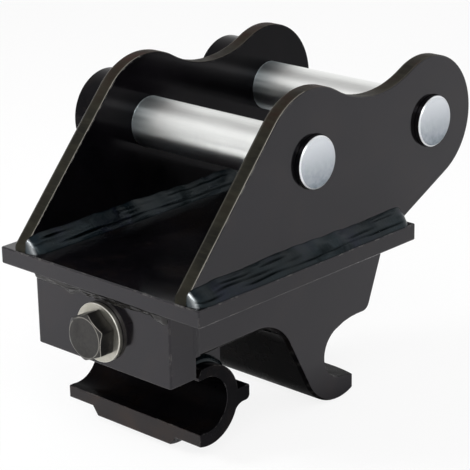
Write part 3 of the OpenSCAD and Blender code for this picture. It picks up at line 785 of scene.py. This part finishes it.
def spindlePieces(look):
    front = look["washerFront"]
    axis = (front, 0, look["z"])
    head = turned(hexProfile(look["flats"], look["headHeight"], look["headTurn"], look["headSoft"]),
                  axis, (-1, 0, 0), 192)
    piece = addPiece("spindleHead", head, "spindle_set", ["spindle"], [headMetal],
                     28, True)
    markHead(piece, 0, front - look["headHeight"]/2)
    radius, plainLength = look["radius"], look["threadStart"] - front
    shank = turned(softCorners([(0, radius*0.4), (0, radius), (plainLength, radius),
                                (plainLength, radius*0.4)], look["shankRound"]), axis, (1, 0, 0), 64)
    # a single-start thread: the radius follows the helix phase
    stepsPerPitch, around = look["stepsPerPitch"], look["around"]
    turns = int((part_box("spindle")[1].x - look["threadStart"])/look["pitch"])
    rings = []
    for step in range(turns*stepsPerPitch + 1):
        x = look["threadStart"] + look["pitch"]*step/stepsPerPitch
        taper = min(1.0, (turns*stepsPerPitch - step)/stepsPerPitch + 0.15)
        ring = []
        for spoke in range(around):
            angle = 2*pi*spoke/around
            phase = (step/stepsPerPitch - spoke/around) % 1
            crest = abs(phase - 0.5)*2
            r = radius - look["threadDepth"]*(1 - crest) - look["runOut"]*(1 - taper)
            ring.append(Vector((x, cos(angle)*r, look["z"] + sin(angle)*r)))
        rings.append(ring)
    addPiece("spindleShank", joined(shank, ringMesh(rings)), "spindle_set", [],
             [headMetal], 30)
    thickness = look["washerThickness"]
    section = [(0, look["washerBore"]), (0, look["washerRadius"]),
               (thickness, look["washerRadius"]), (thickness, look["washerBore"])]
    washer = turned(softCorners(section, look["washerRound"], 4, True), axis, (1, 0, 0), 160, True)
    piece = addPiece("spindleWasher", washer, "frame", ["spindle_washer"],
                     [washerMetal], 40, True)
    markEdges(piece, lambda face: 0.2 < abs(face.normal.x) < 0.95)


spindlePieces(spindleLook)
lockLook = {
    "flats": 16*mm, "headHeight": 6.4*mm, "headSoft": 0.25*mm, "radius": 5*mm, "shankRound": 0.5*mm,
    "washerRadius": 8.75*mm, "washerBore": 5.3*mm, "washerRound": 0.3*mm, "washerRise": 0.35*mm,
    "splitAngle": 8, "washerSteps": 72}


def lockPieces(end, x, look):
    boltLow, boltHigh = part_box(end + "_lock_bolt")
    washerLow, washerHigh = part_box(end + "_lock_washer")
    y = (boltLow.y + boltHigh.y)/2
    seat = boltLow.z + look["headHeight"]
    head = turned(hexProfile(look["flats"], look["headHeight"], 0, look["headSoft"]),
                  (x, y, seat), (0, 0, -1), 144)
    radius, length = look["radius"], boltHigh.z - seat
    shank = turned(softCorners([(0, radius*0.2), (0, radius), (length, radius), (length, radius*0.2)],
                               look["shankRound"]), (x, y, seat), (0, 0, 1), 64)
    piece = addPiece(end + "LockBolt", joined(head, shank), "frame", [end + "_lock_bolt"],
                     [headMetal], 28, True)
    markHead(piece, 2, seat - look["headHeight"]/2)
    # split spring washer: one coil that rises a little from one lip to the other
    rings = []
    for step in range(look["washerSteps"] + 1):
        share = step/look["washerSteps"]
        angle = radians(look["splitAngle"] + (360 - 2*look["splitAngle"])*share)
        rise = look["washerRise"]*share
        low, high = washerLow.z + rise, washerHigh.z - look["washerRise"] + rise
        section = softCorners([(look["washerBore"], low), (look["washerRadius"], low),
                               (look["washerRadius"], high), (look["washerBore"], high)],
                              look["washerRound"], 2, True)
        rings.append([Vector((x + cos(angle)*r, y + sin(angle)*r, z)) for r, z in section])
    addPiece(end + "LockWasher", ringMesh(rings), "frame", [end + "_lock_washer"],
             [headMetal], 40)


lockPieces("front", 0, lockLook)
lockPieces("rear", rearAxis, lockLook)

rollLook = {"outer": 2*mm, "inner": 1.25*mm, "slit": 22, "endLength": 0.4*mm, "endTaper": 0.25*mm}


# A rolled tube with its slit and tapered ends
def rollPin(look):
    low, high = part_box("roll_pin")
    centre = (low + high)/2
    spokes = [radians(look["slit"]/2 + (360 - look["slit"])*k/32) for k in range(33)]
    rings = []
    for height, tight in ((low.z, look["endTaper"]), (low.z + look["endLength"], 0.0),
                          (high.z - look["endLength"], 0.0), (high.z, look["endTaper"])):
        outline = [(look["outer"] - tight, a) for a in spokes]
        outline += [(look["inner"], a) for a in reversed(spokes)]
        rings.append([Vector((centre.x + cos(a)*r, centre.y + sin(a)*r, height))
                      for r, a in outline])
    addPiece("rollPin", ringMesh(rings), "spindle_set", ["roll_pin"], [headMetal], 40)


rollPin(rollLook)
print("pins, spindle and bolts made")


# Weld beads. at(s) gives a point of the corner with the two directions along its walls,
# legs are the bead's reach along each, and the look holds its waves, grooves and ripples.

earBead = {
    "step": 0.5*mm, "toeWave": 0.16, "waveLength": 24*mm, "crown": 0.10, "groove": 0.8*mm,
    "ripple": 0.012*mm, "ripplePitch": 2.4*mm, "lump": 0.45*mm, "lumpLength": 11*mm, "rows": 30,
    "blunt": 2.1, "endAt": 0.16, "endWidth": 0.13, "endWear": 1.0}
hiddenBead = dict(earBead, endWear=0.0)
lowBead = dict(hiddenBead, step=0.7*mm, groove=0.25*mm, ripple=0.06*mm, rows=18)
# the bead across the block reaches further down than its solid
blockBead = dict(
    hiddenBead, toeWave=0.6, waveLength=13*mm, crown=0.16, groove=0.35*mm,
    ripple=0.02*mm, lump=0.9*mm, rows=16, lumpLength=6*mm, reachDown=1.3)
smallBead = dict(
    hiddenBead, step=0.6*mm, toeWave=0.10, groove=0.12*mm, ripple=0.06*mm, lump=0.15*mm, rows=12)


def drift(s, scale, seed):
    return noise.noise(Vector((s/scale, seed*3.7, 0.5)))


def beadMesh(length, at, legs, seed, look, closed=False):
    steps = max(24, int(length/look["step"]))
    rows, blunt = look["rows"], look["blunt"]
    swing = 0.5 if closed else 1.0
    sink = 0.1*mm  # how far the bead's back and toes reach into the walls
    rings, creaseShades, endGlints = [], [], []
    for index in range(steps if closed else steps + 1):
        s = length*index/steps
        origin, out, up = at(s)
        # at an open end the bead comes up bluntly, and its grooves and lumps only behind that
        ahead = min(s, length - s)/legs[0]
        settled = 1.0 if closed else min(1.0, ahead/1.4)
        end = 1.0 if closed or ahead > 1 else max(0.0, 1 - (1 - ahead)**blunt)**(1/blunt)*0.97 + 0.03
        wave = drift(s, look["waveLength"], seed)
        fineWave = drift(s, look["waveLength"]*0.35, seed + 2)
        sideWave = drift(s, look["waveLength"], seed + 5)
        toeOut = legs[0]*end*(1 + look["toeWave"]*0.35*swing*(sideWave - 0.3))
        toeUp = legs[1]*end**0.45*(1 + look["toeWave"]*swing*(wave + 0.5*fineWave - 0.2))
        lean = Vector((toeUp, toeOut)).normalized()
        # place across the bead, width and depth of its three grooves
        grooves = [(0.27 + 0.07*drift(s, 18*mm, seed + 9), 0.045,
                    max(0.0, drift(s, 16*mm, seed + 13) + 0.25)),
                   (0.52 + 0.08*drift(s, 20*mm, seed + 21), 0.05,
                    max(0.0, drift(s, 19*mm, seed + 23) - 0.02)*1.3),
                   (0.74 + 0.06*drift(s, 22*mm, seed + 11), 0.045,
                    max(0.0, drift(s, 24*mm, seed + 17) + 0.5))]
        # a painted highlight across the front end of the ear beads, drawn as worn bare metal
        wearAndGlint = 0.0
        if not closed and s < length/2:
            wearAndGlint = look["endWear"]*max(0.0, 1 - abs(ahead - look["endAt"])/look["endWidth"])
        ring = [origin - out*sink - up*sink]
        creaseShades.append(1.0)
        endGlints.append(0.0)
        for row in range(rows + 1):
            t = row/rows
            arch = sin(pi*t)
            carve = settled*sum(depth*exp(-((t - middle)/width)**2)
                                for middle, width, depth in grooves)
            ripple = cos(2*pi*(s/look["ripplePitch"] + 1.6*(t - 0.5)**2))
            lump = noise.noise(Vector((s/look["lumpLength"], t*2.2, seed*1.9)))
            lift = (look["crown"]*legs[0]*end*arch - look["groove"]*carve
                    + look["ripple"]*ripple*arch*end + look["lump"]*lump*arch*settled)
            across, height = toeOut*t + lean.x*lift, toeUp*(1 - t) + lean.y*lift
            ring.append(origin + out*(across - (sink if row == 0 else 0)) +
                        up*(height - (sink if row == rows else 0)))
            # painted shade along both toes and in the grooves
            toeShade = 0.8*exp(-(t/0.03)**2) + 0.6*exp(-((1 - t)/0.03)**2)
            creaseShades.append(min(1.0, 1.5*carve + toeShade))
            endGlints.append(wearAndGlint)
        rings.append(ring)
    bm = ringMesh(rings, not closed)
    creaseShadeLayer = bm.verts.layers.float.new("crease")
    wearAndGlintLayer = bm.verts.layers.float.new("edgeWear")
    for vert, crease, wearAndGlint in zip(bm.verts, creaseShades, endGlints):
        vert[creaseShadeLayer], vert[wearAndGlintLayer] = crease, wearAndGlint
    return bm


def straightBead(start, finish, out, up, legs, seed, look):
    start, finish, out, up = Vector(start), Vector(finish), Vector(out), Vector(up)
    length = (finish - start).length
    return beadMesh(length, lambda s: (start.lerp(finish, s/length), out, up), legs, seed, look)


def addBead(name, bm, node, body="frame", material=bead):
    addPiece(name, bm, body, [node], [material], 50)


# node, name, face of the ear, side of it and look of the beads on the plate
earWelds = [
    ("near_ear_outer_weld", "nearOuterBead", earLow.y, -1, earBead),
    ("near_ear_inner_weld", "nearInnerBead", earHigh.y, 1, hiddenBead),
    ("far_ear_inner_weld", "farInnerBead", -earHigh.y, -1, earBead),
    ("far_ear_outer_weld", "farOuterBead", -earLow.y, 1, hiddenBead)]
for number, (node, name, face, side, beadLook) in enumerate(earWelds):
    weldLow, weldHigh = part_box(node)
    leg = weldHigh.y - weldLow.y
    addBead(name, straightBead((weldLow.x, face, plateTop), (weldHigh.x, face, plateTop), (0, side, 0),
                               (0, 0, 1), (leg, leg), 3 + number*21, beadLook), node)

weldLow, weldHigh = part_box("near_side_weld")
lowLeg = weldHigh.z - weldLow.z
for node, name, face, side in (("near_side_weld", "nearSideBead", bodyLow.y, -1),
                               ("far_side_weld", "farSideBead", bodyHigh.y, 1)):
    addBead(name, straightBead((weldLow.x, face, plateUnder), (weldHigh.x, face, plateUnder),
                               (0, side, 0), (0, 0, -1), (lowLeg, lowLeg), 40 + side, lowBead), node)

weldLow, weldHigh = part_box("thrust_block_weld")
blockLegs = (weldHigh.x - weldLow.x, (weldHigh.z - weldLow.z)*blockBead["reachDown"])
addBead("blockBead", straightBead((blockLow.x, weldLow.y, plateUnder), (blockLow.x, weldHigh.y, plateUnder),
                                  (-1, 0, 0), (0, 0, -1), blockLegs, 71, blockBead),
        "thrust_block_weld", material=seamBead)

weldLow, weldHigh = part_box("hook_weld")
addBead("hookBead", straightBead((weldHigh.x, weldLow.y, plateUnder), (weldHigh.x, weldHigh.y, plateUnder),
                                 (-1, 0, 0), (0, 0, -1), (lowLeg, lowLeg), 83, lowBead), "hook_weld")


# A closed bead round a collar, on the face of the far ear
def collarBead(end, x, seed):
    collarLow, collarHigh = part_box(end + "_collar")
    radius = (collarHigh.x - collarLow.x)/2
    weldLow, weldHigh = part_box(end + "_collar_weld")
    leg = weldHigh.y - weldLow.y

    def at(s):
        out = Vector((cos(s/radius), 0, sin(s/radius)))
        return Vector((x, -earLow.y, 0)) + out*radius, out, Vector((0, 1, 0))

    addBead(end + "CollarBead", beadMesh(2*pi*radius, at, (leg, leg), seed, smallBead, True),
            end + "_collar_weld")


collarBead("front", 0, 90)
collarBead("rear", rearAxis, 91)


# Beads between the jaw's round and its slide: one along each side and one behind
jawRound = {
    "x": -69.9*mm, "z": -125.1*mm, "radius": 23.4*mm, "from": 33.5, "to": 102, "leg": 3.5*mm,
    "rearInset": 4*mm, "rearUnder": 0.8*mm, "rearLegs": (4.4*mm, 5*mm), "rearOut": (0.5, 0, -0.87)}
slideLow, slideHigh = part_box("jaw_slide")


def jawBeads(look):
    middle = Vector((look["x"], 0, look["z"]))
    arc = radians(look["to"] - look["from"])
    result = None
    for number, y in enumerate((slideLow.y, slideHigh.y)):
        def sideAt(s):
            angle = radians(look["from"]) + s/look["radius"]
            up = Vector((cos(angle), 0, sin(angle)))
            origin = middle + up*look["radius"] + Vector((0, y, 0))
            return origin, Vector((0, copysign(1, y), 0)), up
        strip = beadMesh(arc*look["radius"], sideAt, (look["leg"], look["leg"]), 101 + number, smallBead)
        result = joined(result, strip) if result else strip
    foot = sqrt(look["radius"]**2 - (slideHigh.x - look["x"])**2) + look["z"] - look["rearUnder"]
    start = (slideHigh.x, slideLow.y + look["rearInset"], foot)
    finish = (slideHigh.x, slideHigh.y - look["rearInset"], foot)
    rear = straightBead(start, finish, look["rearOut"], (0, 0, 1), look["rearLegs"], 111, smallBead)
    return joined(result, rear)


addBead("jawBeads", jawBeads(jawRound), "jaw_welds", "jaw")


# Dressed seam where each side wall meets the block: a shallow ground-off strip
seamLook = {
    "width": 5.5*mm, "proud": 0.28*mm, "sunk": 0.02*mm, "depth": 0.2*mm,
    "top": -68*mm, "bottom": -93.6*mm, "rings": 40, "points": 16}


def dressedSeam(name, y, side, seed, look):
    rings = []
    for step in range(look["rings"] + 1):
        share = step/look["rings"]
        z = look["top"] + (look["bottom"] - look["top"])*share
        ring = []
        for point in range(look["points"] + 1):
            t = point/look["points"]
            half = look["width"]/2*(1 + 0.2*noise.noise(Vector((share*6, seed, t > 0.5))))
            bump = sin(pi*t)**0.6*sin(pi*min(1, share*12, (1 - share)*12)/2)
            grain = 0.7 + 0.5*noise.noise(Vector((share*14, t*4, seed + 3)))
            lift = look["proud"]*bump*grain - look["sunk"]
            ring.append(Vector((blockHigh.x + (t*2 - 1)*half, y + side*lift, z)))
        ring += [Vector((p.x, y - side*look["depth"], p.z)) for p in reversed(ring)]
        rings.append(ring)
    addPiece(name, ringMesh(rings), "frame", [], [paint], 50)


dressedSeam("nearDressedSeam", bodyLow.y, -1, 5, seamLook)
dressedSeam("farDressedSeam", bodyHigh.y, 1, 8, seamLook)
print("weld beads made")


# Stage: pale floor, soft lamps, white surroundings

stageLook = {
    "floorColor": (0.92, 0.92, 0.92, 1), "floorShare": 0.86, "mirrorShare": 0.25,
    "floorSize": 4, "floorGap": 0.2*mm,
    "horizonColor": (1.0, 1.0, 1.0, 1), "overheadColor": (0.34, 0.33, 0.33, 1),
    "brightBelow": 0.68, "darkAbove": 0.94, "skyStrength": 0.75}


def makeFloor(look):
    bm = bmesh.new()
    bmesh.ops.create_grid(bm, x_segments=4, y_segments=4, size=look["floorSize"])
    mesh = meshOf("floor", bm)
    floor = newObject("floor", mesh)
    floor.location = (0, 0, cadLow.z - look["floorGap"])
    material = bpy.data.materials.new("paleFloor")
    material.use_nodes = True
    tree = material.node_tree
    shader = tree.nodes["Principled BSDF"]
    shader.inputs["Base Color"].default_value = look["floorColor"]
    shader.inputs["Roughness"].default_value = 0.9
    shader.inputs["Specular IOR Level"].default_value = 0.1
    glow = addNode(tree, "Emission")
    mix = addNode(tree, "MixShader")
    path = addNode(tree, "LightPath").outputs
    seen = sums(tree, "MULTIPLY", path["Is Camera Ray"], look["floorShare"])
    mirrored = sums(tree, "MAXIMUM", path["Is Glossy Ray"], path["Is Transmission Ray"])
    tree.links.new(sums(tree, "ADD", seen, sums(tree, "MULTIPLY", mirrored, look["mirrorShare"])),
                   mix.inputs["Fac"])
    tree.links.new(shader.outputs["BSDF"], mix.inputs[1])
    tree.links.new(glow.outputs["Emission"], mix.inputs[2])
    tree.links.new(mix.outputs["Shader"], tree.nodes["Material Output"].inputs["Surface"])
    mesh.materials.append(material)


def makeWorld(look):
    world = bpy.data.worlds.new("studio")
    bpy.context.scene.world = world
    world.use_nodes = True
    tree = world.node_tree
    lit = tree.nodes["Background"]
    direction = addNode(tree, "TexCoord").outputs["Generated"]
    rise = spread(tree, axisPart(tree, direction, "Z"), look["brightBelow"], look["darkAbove"], 0.0, 1.0)
    tree.links.new(blend(tree, rise, look["horizonColor"], look["overheadColor"]), lit.inputs["Color"])
    path = addNode(tree, "LightPath").outputs
    mirrored = sums(tree, "MAXIMUM", path["Is Glossy Ray"], path["Is Transmission Ray"])
    tree.links.new(spread(tree, mirrored, 0.0, 1.0, look["skyStrength"], 1.0), lit.inputs["Strength"])
    white = addNode(tree, "Background")
    white.inputs["Color"].default_value = (1, 1, 1, 1)
    mix = addNode(tree, "MixShader")
    tree.links.new(path["Is Camera Ray"], mix.inputs["Fac"])
    tree.links.new(lit.outputs["Background"], mix.inputs[1])
    tree.links.new(white.outputs["Background"], mix.inputs[2])
    tree.links.new(mix.outputs["Shader"], tree.nodes["World Output"].inputs["Surface"])


# Name, place, point aimed at, size, power, beam in degrees, and whether metal and paint mirror it
lamps = [
    ("keyLamp", (-0.9, -1.0, 1.4), (-0.01, 0, -0.06), 1.0, 12.0, 180, True),
    ("fillLamp", (1.5, -1.0, 1.0), (-0.01, 0, -0.06), 1.4, 5.0, 180, False),
    ("backLamp", (-1.4, 1.3, 0.9), (-0.55, 0.5, -0.16), 0.6, 7.0, 70, False)]


def addLamp(name, spot, aim, size, power, beam, mirrored):
    lamp = bpy.data.lights.new(name, "AREA")
    lamp.shape = "SQUARE"
    lamp.size = size
    lamp.energy = power
    lamp.spread = radians(beam)
    holder = newObject(name, lamp)
    holder.location = spot
    holder.rotation_euler = (Vector(aim) - Vector(spot)).to_track_quat("-Z", "Y").to_euler()
    holder.visible_glossy = mirrored


cameraLook = {
    "azimuth": -46.904, "elevation": 19.422, "roll": -1.066, "distance": 1.09012,
    "target": (-0.0115, 0, -0.054), "right": -0.01395, "up": 0.00025, "lens": 146.9}


def placeCamera(look):
    a, e, roll = (radians(look[name]) for name in ("azimuth", "elevation", "roll"))
    back = Vector((sin(a)*cos(e), -cos(a)*cos(e), sin(e)))
    right = (-back).cross(Vector((0, 0, 1))).normalized()
    up = right.cross(-back)
    xAxis = right*cos(roll) + up*sin(roll)
    yAxis = up*cos(roll) - right*sin(roll)
    data = bpy.data.cameras.new("camera")
    data.lens = look["lens"]
    data.sensor_width = 36
    data.clip_start, data.clip_end = 0.01, 20
    camera = newObject("camera", data)
    matrix = Matrix((xAxis, yAxis, back)).transposed().to_4x4()
    matrix.translation = (Vector(look["target"]) + back*look["distance"]
                          - xAxis*look["right"] - yAxis*look["up"])
    camera.matrix_world = matrix
    bpy.context.scene.camera = camera


makeFloor(stageLook)
makeWorld(stageLook)
for lamp in lamps:
    addLamp(*lamp)
placeCamera(cameraLook)
bpy.context.scene.view_settings.view_transform = "Standard"
print("stage set")
